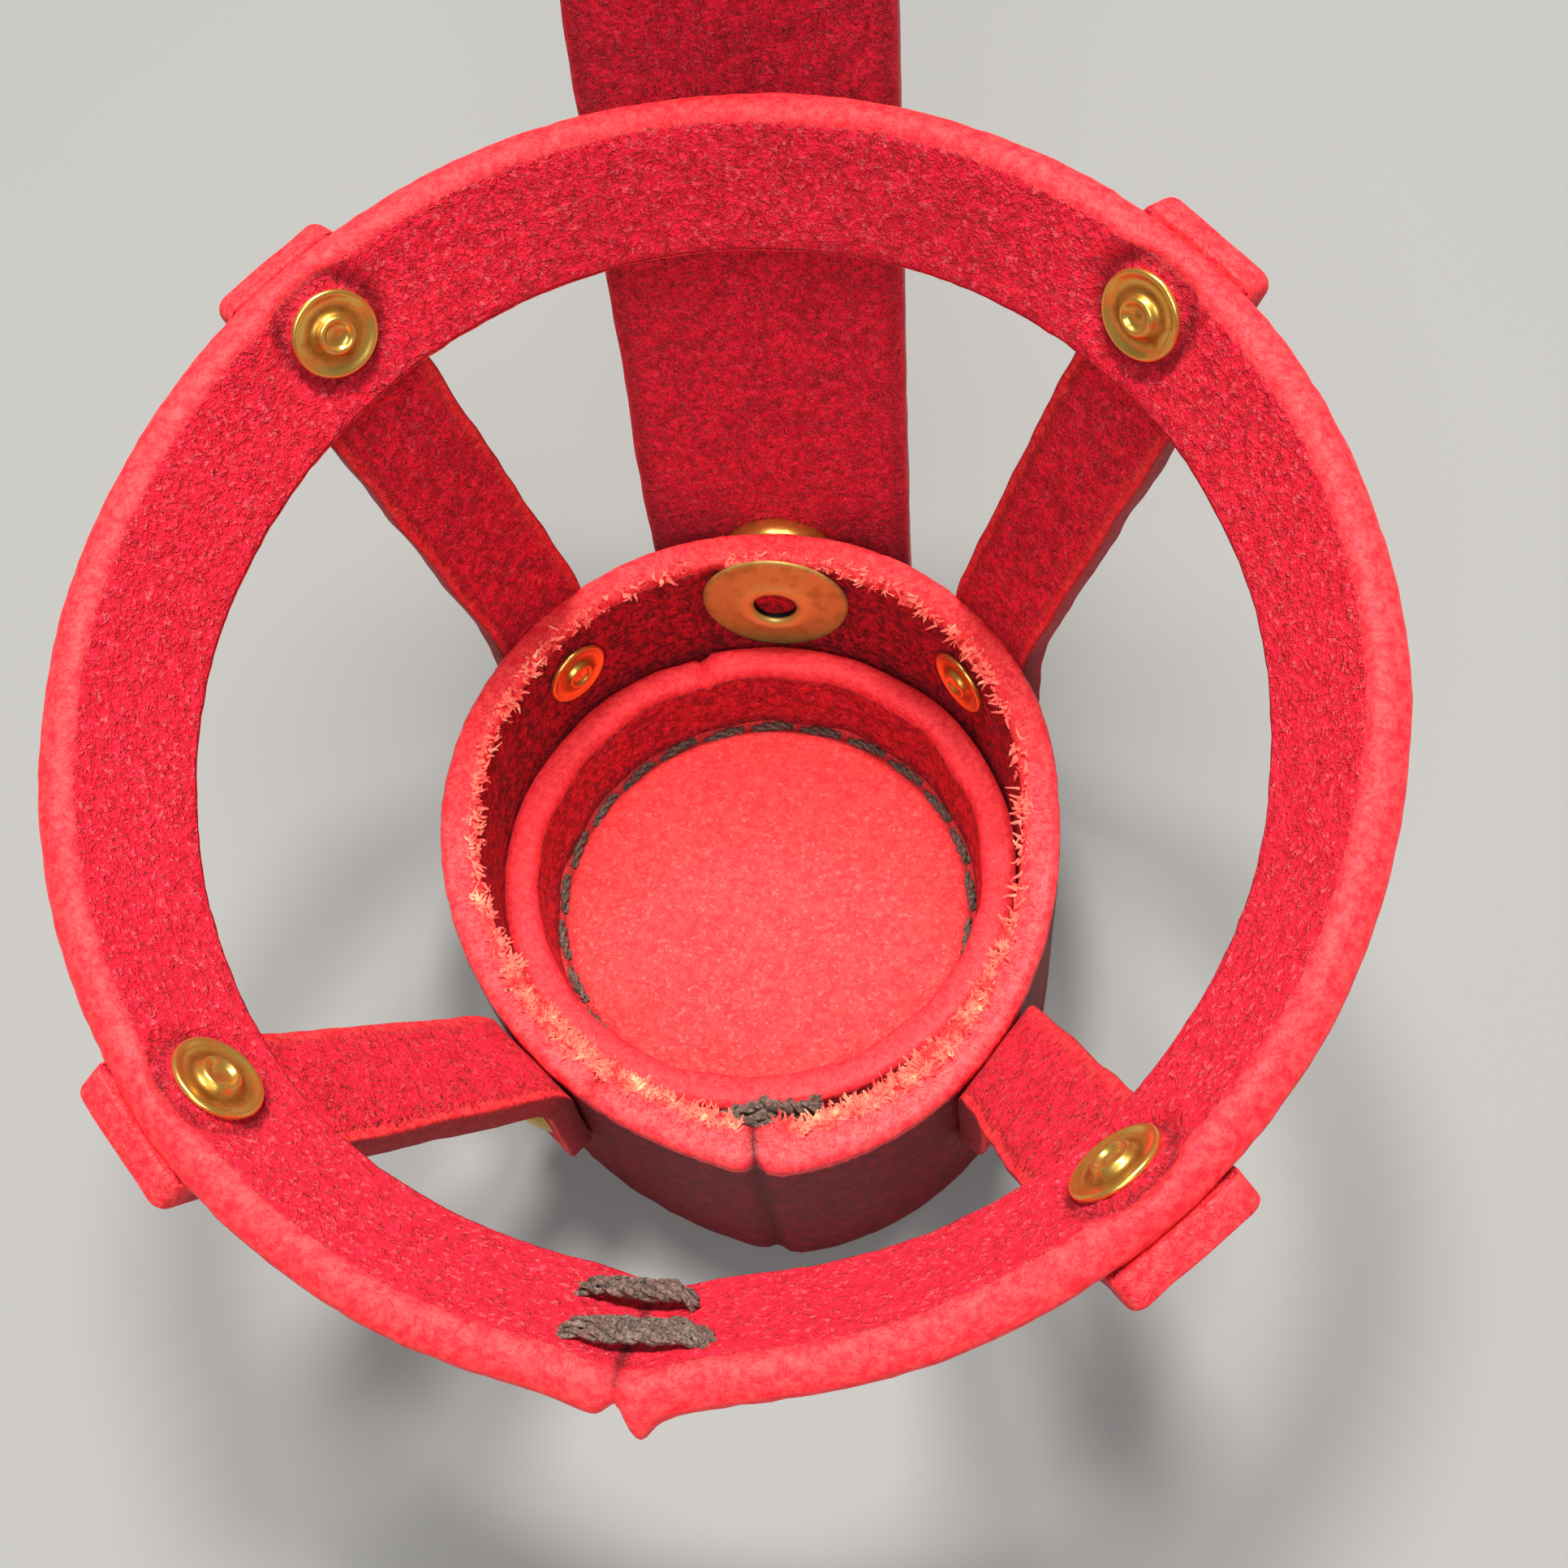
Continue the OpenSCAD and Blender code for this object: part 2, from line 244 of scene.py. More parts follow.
def polishedBrass(name, bright, dull, stain, metal, worn):
    # deep is 1 in the hollows, where polish doesn't reach, and 2 down a hole, where near-black is
    # painted in as shade
    made = Finish(name)
    deep = made.attribute("deep")
    cloud = made.noise(1.6, 4.0, 0.6)
    dust = made.noise(0.25, 3.0, 0.6)
    tarnish = (deep * 0.75 + cloud.between(0.45, 0.7) * 0.35).between(0.15, 1.0)
    colour = made.mix(tarnish, bright, dull)
    colour = made.mix(dust.between(0.6, 0.72) * 0.4 * deep, colour, stain)
    # painted shade: near-black down a hole
    colour = made.mix(deep.between(1.2, 1.7), colour, rgb(10, 5, 3))
    rough = worn + tarnish * 0.2 + dust * 0.08
    normal = made.bump(cloud, 0.03)
    return made.set(Base_Color=colour, Roughness=rough, Metallic=metal, Normal=normal)


brass = polishedBrass("polished brass", rgb(226, 182, 88), rgb(162, 104, 34),
                      rgb(74, 40, 16), 0.9, 0.22)
redBrass = polishedBrass("red brass", rgb(198, 174, 90), rgb(166, 126, 56),
                         rgb(84, 56, 22), 0.5, 0.34)


def waxedThread():
    made = Finish("waxed thread")
    strands = made.noise(0.35, 4.0, 0.7, 1.0, (1, 1, 2.5))
    cloud = made.noise(1.4, 3.0)
    colour = made.mix(strands.between(0.35, 0.7), rgb(34, 24, 20), rgb(132, 108, 94))
    colour = made.mix(cloud.between(0.5, 0.8) * 0.5, colour, rgb(104, 48, 38))
    return made.set(Base_Color=colour, Roughness=0.62 + strands * 0.15,
                    Normal=made.bump(strands, 0.12))


def looseFibre():
    made = Finish("loose fibre")
    tone = made.noise(2.4, 3.0, 0.7)
    colour = made.mix(tone.between(0.38, 0.52), rgb(236, 66, 68), rgb(252, 132, 112))
    colour = made.mix(tone.between(0.56, 0.68), colour, rgb(255, 196, 150))
    return made.set(Base_Color=colour, Roughness=0.7)


thread = waxedThread()
fibre = looseFibre()
print("metal, thread and fibre finishes made")


def finishPiece(name, bm, finish, body, nodes=()):
    bmesh.ops.scale(bm, vec=(mm, mm, mm), verts=bm.verts)
    mesh = bpy.data.meshes.new(name)
    bm.to_mesh(mesh)
    bm.free()
    mesh.polygons.foreach_set("use_smooth", [True] * len(mesh.polygons))
    mesh.set_sharp_from_angle(angle=math.radians(creaseAngle))
    mesh.materials.append(finish)
    piece = bpy.data.objects.new(name, mesh)
    bpy.context.scene.collection.objects.link(piece)
    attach(piece, body)
    if nodes:
        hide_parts(*nodes)


def paint(bm, word, rule):
    layer = bm.verts.layers.float.get(word) or bm.verts.layers.float.new(word)
    for v in bm.verts:
        v[layer] = rule(v.co)


def bevelEdges(bm, edges, offset, segments):
    bmesh.ops.bevel(bm, geom=edges, offset=offset, segments=segments, affect="EDGES",
                    profile=0.5, material=-1, clamp_overlap=True)


def cutRows(bm, axis, places):
    plane = Vector((axis == "x", axis == "y", axis == "z"))
    for place in places:
        bmesh.ops.bisect_plane(bm, geom=bm.verts[:] + bm.edges[:] + bm.faces[:],
                               plane_co=plane * place, plane_no=plane, dist=1e-4)


def spaced(low, high, step):
    count = max(1, round((high - low) / step))
    return [low + (high - low) * i / count for i in range(1, count)]


def isLevel(edge):
    return abs(edge.verts[0].co.z - edge.verts[1].co.z) < 0.01


def ringOn(place, heading):
    return Matrix.Translation(place) @ heading.to_track_quat("Z", "Y").to_matrix().to_4x4()


def flatStrip(width, length, thick, corner, edges):
    # x across, y along from 0, z from 0 to thick; edges is one rounding, or one for each long side
    bm = bmesh.new()
    bmesh.ops.create_cube(bm, size=1.0)
    bmesh.ops.scale(bm, vec=(width, length, thick), verts=bm.verts)
    bmesh.ops.translate(bm, vec=(0, length / 2, thick / 2), verts=bm.verts)
    if corner:
        bevelEdges(bm, [e for e in bm.edges if not isLevel(e)], corner, 5)
    if isinstance(edges, dict):
        for side, (offset, segments) in edges.items():
            group = [e for e in bm.edges if isLevel(e)
                     and all(abs(v.co.x - side * width / 2) < 0.01 for v in e.verts)]
            bevelEdges(bm, group, offset, segments)
    else:
        bevelEdges(bm, [e for e in bm.edges if isLevel(e)], edges, 3)
    return bm


def tube(bm, centres, radii, sides):
    # rings stand across the path and are bridged one to the next
    last = None
    for i, centre in enumerate(centres):
        ahead = centres[min(i + 1, len(centres) - 1)] - centres[max(i - 1, 0)]
        end = i in (0, len(centres) - 1)
        made = bmesh.ops.create_circle(bm, cap_ends=end, segments=sides, radius=radii[i],
                                       matrix=ringOn(centre, ahead))
        edges = list({e for v in made["verts"] for e in v.link_edges})
        if last:
            bmesh.ops.bridge_loops(bm, edges=last + edges)
        last = edges


def twistedThread(bm, centres, radius, pitch, fray):
    # two plies wound round each other
    for ply in (0, 1):
        path, radii, run = [], [], 0.0
        for i, centre in enumerate(centres):
            ahead = centres[min(i + 1, len(centres) - 1)] - centres[max(i - 1, 0)]
            if i:
                run += (centre - centres[i - 1]).length
            side = ahead.orthogonal().normalized()
            wound = 2 * math.pi * run / pitch + math.pi * ply
            side.rotate(Matrix.Rotation(wound, 3, ahead.normalized()))
            part = (i + 0.6) / len(centres)
            taper = 0.55 + 0.45 * math.sin(math.pi * min(1, max(0, part)) ** 0.8)
            path.append(centre + side * radius * (0.5 + fray * random.uniform(-0.4, 0.4)))
            radii.append(radius * 0.62 * taper * (1 + fray * random.uniform(-0.3, 0.3)))
        tube(bm, path, radii, 7)


def closeUp(bm):
    bmesh.ops.remove_doubles(bm, verts=bm.verts, dist=1e-4)
    bmesh.ops.recalc_face_normals(bm, faces=bm.faces)


def spinProfile(points, steps, closed):
    # (radius, height) points turned about Z: a closed ring, or a line from the axis back to it
    bm = bmesh.new()
    verts = [bm.verts.new((r, 0, z)) for r, z in points]
    ends = verts[1:] + (verts[:1] if closed else [])
    edges = [bm.edges.new(pair) for pair in zip(verts, ends)]
    bmesh.ops.spin(bm, geom=verts + edges, axis=(0, 0, 1), cent=(0, 0, 0), steps=steps,
                   angle=2 * math.pi, use_merge=True)
    closeUp(bm)
    return bm


def spunMetal(points, where, deep, steps=64, closed=False):
    bm = spinProfile(points, steps, closed)
    paint(bm, "deep", lambda co: deep(math.hypot(co.x, co.y), co.z))
    bmesh.ops.transform(bm, matrix=where, verts=bm.verts)
    return bm


class Spine:
    # a smooth line through some points: each place on it is the mean of a short stretch
    def __init__(self, points, reach):
        self.points, self.reach = points, reach
        self.marks = [0.0]
        for a, b in zip(points, points[1:]):
            self.marks.append(self.marks[-1] + (b - a).length)
        self.length = self.marks[-1]

    def raw(self, s):
        for i, mark in enumerate(self.marks[1:], 1):
            if s <= mark or i == len(self.marks) - 1:
                part = (s - self.marks[i - 1]) / (mark - self.marks[i - 1])
                return self.points[i - 1].lerp(self.points[i], part)

    def at(self, s):
        reach = min(self.reach, max(0.0, s), max(0.0, self.length - s))
        if reach < 0.05:
            return self.raw(s)
        return sum((self.raw(s + reach * k / 4) for k in range(-4, 5)), Vector()) / 9

    def along(self, s):
        return (self.at(s + 0.3) - self.at(s - 0.3)).normalized()


def lumps(bm, amount, size, seed=0):
    # a gentle unevenness along each vertex's normal
    bm.normal_update()
    for v in bm.verts:
        v.co += v.normal * amount * noise.noise(v.co / size + Vector((seed, seed * 2, 0)))


# the hoop: a flared band, butted and sewn at the front; turns are degrees clockwise from the back
hoop = {"radius": 44.6, "wide": 11.2, "flare": 27, "at": (2.5, -14.1, 66.85), "tilt": 11.5,
        "roll": -1.5, "seam": -178.3, "rivets": [-132, 137, -47, 45], "rivetDrop": 4.9,
        "frontSag": 0.13, "stitchDrops": [2.9, 8.2], "stitchLengths": [9.8, 8.2],
        "stitchTurns": [181.0, 182.6], "threadRadius": 0.46, "pinch": 1.1,
        "edges": {-1: (1.25, 5), 1: (0.5, 3)}}
flare = math.radians(hoop["flare"])
inHoop = moved(*hoop["at"]) @ turned(hoop["roll"], "Y") @ turned(hoop["tilt"], "X")


def onHoop(turn, drop):
    # +Z outwards through the leather, +Y down the band, from the outer face
    return (inHoop @ turned(-turn, "Z")
            @ moved(0, hoop["radius"] - drop * math.sin(flare), -drop * math.cos(flare))
            @ turned(-90 - hoop["flare"], "X"))


def apart(turn, other):
    return (turn - other + 180) % 360 - 180


def makeHoop():
    length = 2 * math.pi * hoop["radius"]
    perDegree = length / 360
    thick, wide = leather["thick"], hoop["wide"]
    bm = flatStrip(wide, length, thick, 0, hoop["edges"])
    cutRows(bm, "x", spaced(-wide / 2 + 1.3, wide / 2 - 0.5, 0.8))
    ys = set(round(y, 2) for y in spaced(0, length, 0.9))
    for turn in hoop["rivets"]:
        middle = ((turn - hoop["seam"]) % 360) * perDegree
        ys |= set(round(middle + k * 0.45, 2) for k in range(-13, 14))
    ys |= set(round(k * 0.3, 2) for k in range(1, 14))
    ys |= set(round(length - k * 0.3, 2) for k in range(1, 10))
    cutRows(bm, "y", sorted(ys))

    def edgeOf(co):
        down = co.x + wide / 2
        upper = eased((2.0 - down) / 1.2) if co.z > 0.8 else eased((1.5 - down) / 0.9)
        return max(upper, 0.75 * eased((down - wide + 0.6) / 0.4))

    def toRivet(co):
        down, turn = co.x + wide / 2, hoop["seam"] + co.y / perDegree
        reach = math.radians(hoop["radius"] - 2.2)
        return min(math.hypot(apart(turn, t) * reach, down - hoop["rivetDrop"])
                   for t in hoop["rivets"])

    paint(bm, "cut", edgeOf)
    paint(bm, "flesh", lambda co: eased((thick - co.z - 0.6) / 1.2))
    # painted shade on the inner face: in the groove round each rivet flange and in the cleft at
    # the seam's butted ends
    paint(bm, "shade", lambda co: 0.0 if co.z > 1 else
          0.75 * hump(toRivet(co) - 3.9, 0.55) + 1.0 * hump(min(co.y, length - co.y), 0.5))
    for v in bm.verts:
        down, turn, depth = v.co.x + wide / 2, hoop["seam"] + v.co.y / perDegree, v.co.z
        inner = 1 - depth / thick  # 1 on the napped inner face
        near = toRivet(v.co)
        depth += inner * 0.55 * hump(near - 4.1, 0.75) * (near > 3.2)
        front = apart(turn, 181)
        down *= 1 + hoop["frontSag"] * hump(front, 26)
        start, end = v.co.y, length - v.co.y
        swell = 0.9 * hump(front, 5)
        seam = min(start, end)
        swell -= 1.0 * hump(seam, 0.8) * (1 - inner)
        pinch = hoop["pinch"] * hump(end - 1.4, 0.95) * (1 - inner) ** 2
        pinch *= hump(max(0, down - 0.9), 1.5)
        wobble = 0.18 * noise.noise(Vector((turn / 16, down / 9, inner)))
        radius = hoop["radius"] - down * math.sin(flare) - (thick - depth) * math.cos(flare)
        height = -down * math.cos(flare) + (thick - depth) * math.sin(flare)
        radius += swell + pinch + wobble
        height += 0.35 * noise.noise(Vector((turn / 25, 4, 0))) * (1 - down / wide)
        v.co = inHoop @ turned(-turn, "Z") @ Vector((0, radius, height))
    bmesh.ops.recalc_face_normals(bm, faces=bm.faces)
    lumps(bm, 0.09, 1.1)
    finishPiece("hoop_band", bm, hoopLeather, "carrier", ["hoop"])


makeHoop()
print("hoop made")


# the cup: a strip bent round with its ends butted at the front, a liner and a base
cup = {"inner": 23.9, "outer": 27.1, "height": 24.1, "back": 0.9, "reach": 34.4, "seamTurn": 6.7,
       "rivets": [-148.7, 135.3, -50, 49], "rivetHeight": 18.0, "splice": -160.5,
       "liner": 20.7, "linerHeight": 12.0, "floor": 3.2, "edges": {-1: (0.3, 2), 1: (0.85, 5)},
       "unrolled": 27.5, "rivetSeat": 3.3, "studSeat": 7.1, "stitchRing": 19.8,
       "stitchCount": 25, "seamRows": ((14.5, 3), (18.0, 3), (21.4, 6))}


def wallReach(turn):
    # round at the back, drawn out to a blunt point at the seam
    past = apart(turn, 180 - cup["seamTurn"])
    draw = cup["reach"] - cup["outer"]
    if abs(past) >= 90:
        return cup["outer"]
    if past > 0:
        return cup["reach"] - draw * math.sin(math.radians(past)) ** 0.8
    return cup["outer"] + draw * math.cos(math.radians(past)) ** 2


def onCup(turn, height):
    slope = (wallReach(turn + 0.5) - wallReach(turn - 0.5)) * 180 / math.pi
    skew = math.atan2(slope, wallReach(turn))
    return (moved(0, cup["back"], 0) @ turned(-turn, "Z") @ moved(0, wallReach(turn), height)
            @ turned(math.degrees(skew), "Z") @ turned(-90, "X"))


def makeCupWall():
    thick, high = leather["thick"], cup["height"]
    length = 2 * math.pi * cup["unrolled"]
    bm = flatStrip(high, length, thick, 0, cup["edges"])
    cutRows(bm, "x", spaced(-high / 2 + 0.4, high / 2 - 0.9, 1.0))
    ys = set(round(y, 2) for y in spaced(0, length, 0.8)) | {0.2, length - 0.2}
    cutRows(bm, "y", sorted(ys))

    def turnOf(co):
        return 180 - cup["seamTurn"] + 360 * co.y / length

    def seamOf(co):
        return min(co.y, length - co.y)

    paint(bm, "cut", lambda co: max(eased((co.x - high / 2 + 1.5) / 0.8),
                                    0.6 * eased((-co.x - high / 2 + 0.4) / 0.3)))
    paint(bm, "flesh", lambda co: eased((thick - co.z - 0.6) / 1.2))
    # painted shade in the cleft at the butted seam and along the splice's butt line
    paint(bm, "shade", lambda co: max(1.1 * hump(seamOf(co), 0.45),
                                      0.95 * hump(apart(turnOf(co), cup["splice"]), 0.7)))
    seats = [(t, cup["rivetSeat"]) for t in cup["rivets"]] + [(0, cup["studSeat"])]
    for v in bm.verts:
        turn, height, inner = turnOf(v.co), v.co.x + high / 2, 1 - v.co.z / thick
        up = height / high
        radius = wallReach(turn) / cup["outer"] * (cup["inner"] + v.co.z)
        for hole, seat in seats:  # pressed flat behind each flange
            swing = math.radians(apart(turn, hole))
            off = math.hypot(math.sin(swing) * radius, height - cup["rivetHeight"]) - seat
            if abs(swing) < 0.6 and off < 1.2:
                radius += inner * (radius / math.cos(swing) - radius + 0.04) * eased(1 - off / 1.2)
        back = max(0.0, math.cos(math.radians(turn)))
        radius += 0.9 * eased((height - 17) / 7) * back ** 2 * (1 - inner * hump(turn - 360, 16))
        height += 0.3 * noise.noise(Vector((math.cos(math.radians(turn)) * 3, 8, 0))) * up
        height += (0.4 if v.co.y > length / 2 else -0.2) * hump(seamOf(v.co), 2.2) * up
        height -= 0.7 * hump(apart(turn, cup["splice"]), 0.9) * up  # nick at the join
        radius -= 0.9 * hump(seamOf(v.co), 0.7) * (1 - inner)
        radius -= 0.4 * inner * hump(height - high, 1.5) * noise.noise(Vector((turn / 4, 3, 0)))
        v.co = moved(0, cup["back"], height) @ turned(-turn, "Z") @ Vector((0, radius, 0))
    bmesh.ops.recalc_face_normals(bm, faces=bm.faces)
    lumps(bm, 0.09, 1.2, 3)
    finishPiece("cup_wall_leather", bm, cupLeather, "carrier", ["cup_wall"])


makeCupWall()
print("cup wall made")


def makeLiner():
    outer, inner, low, top = cup["inner"] - 0.05, cup["liner"], cup["floor"], cup["linerHeight"]
    profile = [(inner, low), (inner, top - 0.9), (inner + 0.15, top - 0.4),
               (inner + 0.5, top - 0.1), (inner + 1.0, top), (outer - 0.8, top),
               (outer - 0.3, top - 0.12), (outer - 0.05, top - 0.4), (outer, top - 0.9),
               (outer, low)]
    bm = spinProfile(profile, 240, True)
    cutRows(bm, "z", spaced(low, top - 0.9, 0.8))
    paint(bm, "cut", lambda co: 1.0 if math.hypot(co.x, co.y) >= outer
          else eased((co.z - top + 1.5) / 0.9))
    paint(bm, "flesh", lambda co: eased((outer - math.hypot(co.x, co.y) - 0.4) / 1.0))
    # painted shade towards the foot, in the corner against the base
    paint(bm, "shade", lambda co: 0.55 * eased((low + 1.6 - co.z) / 1.6))
    for v in bm.verts:
        radius, turn = math.hypot(v.co.x, v.co.y), math.degrees(math.atan2(v.co.x, v.co.y))
        up = (v.co.z - low) / (top - low)
        gap = hump(apart(turn, -19), 1.3)
        v.co.z -= 0.9 * gap * up + 0.35 * hump(apart(turn, -24), 5) * up
        v.co.z += 0.4 * noise.noise(Vector((turn / 18, 2, 5))) * up
        inside = radius < inner + 0.9
        shift = -0.45 * (1 - up) ** 2 * inside
        shift += 0.3 * noise.noise(Vector((turn / 13, up, 9))) * inside
        v.co.xy *= (radius + shift) / radius
    lumps(bm, 0.08, 1.8, 5)
    finishPiece("cup_liner_leather", bm, linerLeather, "carrier", ["cup_liner"])


def makeBase():
    edge, floor, ring = cup["inner"] - 0.1, cup["floor"], cup["stitchRing"]
    profile = [(0, floor + 0.1), (6, floor + 0.1), (12, floor + 0.06), (16, floor),
               (18.4, floor - 0.05), (19.0, floor - 0.2), (19.35, floor - 0.5),
               (ring, floor - 0.75), (20.25, floor - 0.5), (20.5, floor - 0.1),
               (22, floor - 0.02), (edge - 0.2, floor - 0.02), (edge, floor - 0.2), (edge, 0.5),
               (edge - 0.5, 0.02), (20.6, 0.02), (20.25, 0.3), (ring, 0.6), (19.35, 0.3),
               (19.0, 0.02), (10, 0.02), (0, 0.02)]
    bm = spinProfile(profile, 180, False)
    paint(bm, "cut", lambda co: 0.0)
    paint(bm, "flesh", lambda co: 1.0 if co.z > 1.5 else 0.0)
    # painted shade in the groove along the stitch ring
    paint(bm, "shade", lambda co: 0.8 * hump(math.hypot(co.x, co.y) - ring, 0.5))
    finishPiece("cup_base_leather", bm, baseLeather, "carrier", ["cup_base"])


def makeBaseStitches():
    bm = bmesh.new()
    count, ring = cup["stitchCount"], cup["stitchRing"]
    for face, side in ((cup["floor"] - 0.3, 1), (0.52, -1)):
        for i in range(count):
            start = 360 / count * (i + (0.08 if side > 0 else 0.0))
            wander = random.uniform(-0.15, 0.15)
            path = []
            for k in range(11):
                part = k / 10
                angle = math.radians(start + 360 / count * 0.8 * part)
                rise = face + side * (0.28 * math.sin(math.pi * part) ** 0.6 - 0.28)
                reach = ring + wander + 0.35 * (0.5 - part)
                path.append(Vector((reach * math.cos(angle), reach * math.sin(angle), rise)))
            twistedThread(bm, path, 0.46 if side > 0 else 0.42, 2.6, fray=0.25)
    closeUp(bm)
    finishPiece("base_stitches", bm, thread, "carrier", ["base_stitching"])


makeLiner()
makeBase()
makeBaseStitches()
print("liner, base and its stitches made")


# the four narrow straps, from a tab above the hoop's rivet down to the cup
strap = {"flush": 0.1, "tab": 12.4, "footLow": 12.0, "corner": 1.2, "edge": 0.26}


def makeStrap(i):
    turn, cupTurn = hoop["rivets"][i], cup["rivets"][i]
    top, foot = onHoop(turn, 0), onCup(cupTurn, 0)
    # onCup's +Y runs down, so a height is a negative y
    points = [top @ Vector((0, strap["flush"], 0)), top @ Vector((0, strap["tab"], 0)),
              foot @ Vector((0, -cup["height"] - 0.3, 0)),
              foot @ Vector((0, -strap["footLow"], 0))]
    spine = Spine(points, 2.6)
    acrossTop, acrossFoot = top.to_3x3() @ Vector((1, 0, 0)), foot.to_3x3() @ Vector((1, 0, 0))
    thick, wide, length = leather["strapThick"], leather["strapWide"], spine.length
    bm = flatStrip(wide, length, thick, strap["corner"], strap["edge"])
    cutRows(bm, "x", spaced(-wide / 2 + 1.7, wide / 2 - 1.7, 0.9))
    cutRows(bm, "y", spaced(1.7, length - 1.7, 0.8))
    paint(bm, "cut", lambda co: max(eased((abs(co.x) - wide / 2 + 0.55) / 0.4),
                                    eased((0.7 - co.y) / 0.5), eased((co.y - length + 0.7) / 0.5)))
    paint(bm, "flesh", lambda co: 1.0)
    # painted shade along the side edges and, on the inner face, towards the foot where the strap
    # lies against the cup
    paint(bm, "shade", lambda co:
          0.75 * eased((abs(co.x) - wide / 2 + 0.25) / 0.2) * eased((co.y - 1.5) / 1.5)
          + 0.35 * eased((co.y - spine.marks[2] + 3) / 3) * (1 - co.z / thick))
    for v in bm.verts:
        s = v.co.y
        share = eased((s - spine.marks[1] + 2) / (spine.marks[2] - spine.marks[1] + 4))
        across = acrossTop.lerp(acrossFoot, share).normalized()
        along = spine.along(min(max(s, 0.4), length - 0.4))
        outward = across.cross(along).normalized()
        width = 1 + 0.03 * noise.noise(Vector((s / 6, v.co.x > 0, i * 3)))
        v.co = spine.at(s) + across * v.co.x * width + outward * v.co.z
    bmesh.ops.recalc_face_normals(bm, faces=bm.faces)
    lumps(bm, 0.12, 2.6, i * 4 + 1)
    name = corners[i]
    finishPiece("strap_leather_" + name, bm, strapLeather, "carrier",
                ["strap_" + name])


for i in range(4):
    makeStrap(i)
print("four straps made")


# the hanger strap, folded over into a belt loop and riveted to itself
hanger = {"wide": 25.0, "thick": 3.0, "front": 30.6, "foot": 7.0, "bend": 25.5, "lean": 9.2,
          "leanTop": 92.0, "lapTop": 106.0, "loopLow": 114.0, "loopTop": 156.0, "gap": 6.0,
          "lapEnd": 93.0, "corner": 2.2, "edge": 0.45, "rivetX": 6.5, "rivetHeight": 99.0}
loopFront = hanger["front"] + (hanger["leanTop"] - hanger["bend"]) * math.tan(
    math.radians(hanger["lean"]))


def makeHanger():
    t, front = hanger["thick"], hanger["front"]
    mid, loop = t / 2, loopFront + t / 2
    radius = (hanger["gap"] + t) / 2
    back = loop + 2 * radius
    points = [(front + mid, hanger["foot"]), (front + mid, hanger["bend"]),
              (loop, hanger["leanTop"]), (loop, hanger["loopTop"])]
    points += [(loop + radius - radius * math.cos(math.radians(a)),
                hanger["loopTop"] + radius * math.sin(math.radians(a)))
               for a in range(15, 166, 15)]
    points += [(back, hanger["loopTop"]), (back, hanger["loopLow"]),
               (loop + t + 0.02, hanger["lapTop"] - 1), (loop + t + 0.02, hanger["lapEnd"])]
    spine = Spine([Vector((0, y, z)) for y, z in points], 1.8)
    length, wide = spine.length, hanger["wide"]
    bm = flatStrip(wide, length, t, hanger["corner"], hanger["edge"])
    cutRows(bm, "x", spaced(-wide / 2 + 2.3, wide / 2 - 2.3, 1.3))
    cutRows(bm, "y", spaced(2.4, length - 2.4, 1.1))
    paint(bm, "cut", lambda co: max(eased((abs(co.x) - wide / 2 + 0.75) / 0.5),
                                    eased((0.8 - co.y) / 0.5), eased((co.y - length + 0.8) / 0.5)))
    paint(bm, "flesh", lambda co: eased((t - co.z - 0.5) / 1.0))
    paint(bm, "shade", lambda co: 0.0)
    for v in bm.verts:
        s = v.co.y
        along = spine.along(min(max(s, 0.4), length - 0.4))
        outward = Vector((1, 0, 0)).cross(along).normalized() * -1
        width = 1 + 0.02 * noise.noise(Vector((s / 14, v.co.x > 0, 5)))
        v.co = spine.at(s) + Vector((v.co.x * width, 0, 0)) + outward * (v.co.z - t / 2)
    bmesh.ops.recalc_face_normals(bm, faces=bm.faces)
    lumps(bm, 0.1, 3.0, 9)
    finishPiece("hanger_leather", bm, hangerLeather, "hanger",
                ["hanger_strap"])


makeHanger()
print("hanger strap made")


# rivets: a post with a flange inside, a domed cap outside
rivet = {"shank": 1.5, "flange": 3.2, "cap": 3.8, "dome": 1.3}


def rivetPost(grip):
    # a dished flange with a raised ring in its middle; the shank goes through the leather
    s, f = rivet["shank"], rivet["flange"]
    return [(0, grip + 0.5), (s - 0.1, grip + 0.5), (s, grip + 0.4), (s, 0.02), (f - 0.1, 0.0),
            (f, -0.06), (f + 0.06, -0.2), (f + 0.02, -0.38), (f - 0.12, -0.48),
            (f - 0.28, -0.46), (f - 0.45, -0.36), (2.35, -0.26), (1.95, -0.25), (1.65, -0.32),
            (1.5, -0.48), (1.42, -0.7), (1.34, -0.82), (1.22, -0.88), (1.08, -0.86),
            (0.97, -0.76), (0.88, -0.6), (0.72, -0.5), (0.4, -0.46), (0, -0.45)]


def rivetHollow(r, z):
    return 0.0 if z > -0.02 else max(hump(r - 1.85, 0.5), 0.6 * hump(r, 0.5))


def rivetCap():
    c, d = rivet["cap"], rivet["dome"]
    ball = (c * c + d * d) / (2 * d)
    arc = [(math.sqrt(max(0.0, ball ** 2 - (z + ball - d) ** 2)), z)
           for z in [d * (1 - (1 - k / 9) ** 2) for k in range(10)]]
    rim = [(0, 0.55), (1.55, 0.55), (1.55, 0.02), (c - 0.25, 0.02), (c - 0.05, 0.08)]
    return rim + arc[1:-1] + [(0, d)]


def makeRivet(name, nodes, where, grip, body):
    bm = spunMetal(rivetPost(grip), where, rivetHollow)
    finishPiece(name + "_post", bm, brass, body, [nodes[0]])
    bm = spunMetal(rivetCap(), where @ moved(0, 0, grip), lambda r, z: 0.0)
    finishPiece(name + "_cap", bm, brass, body, [nodes[1]])


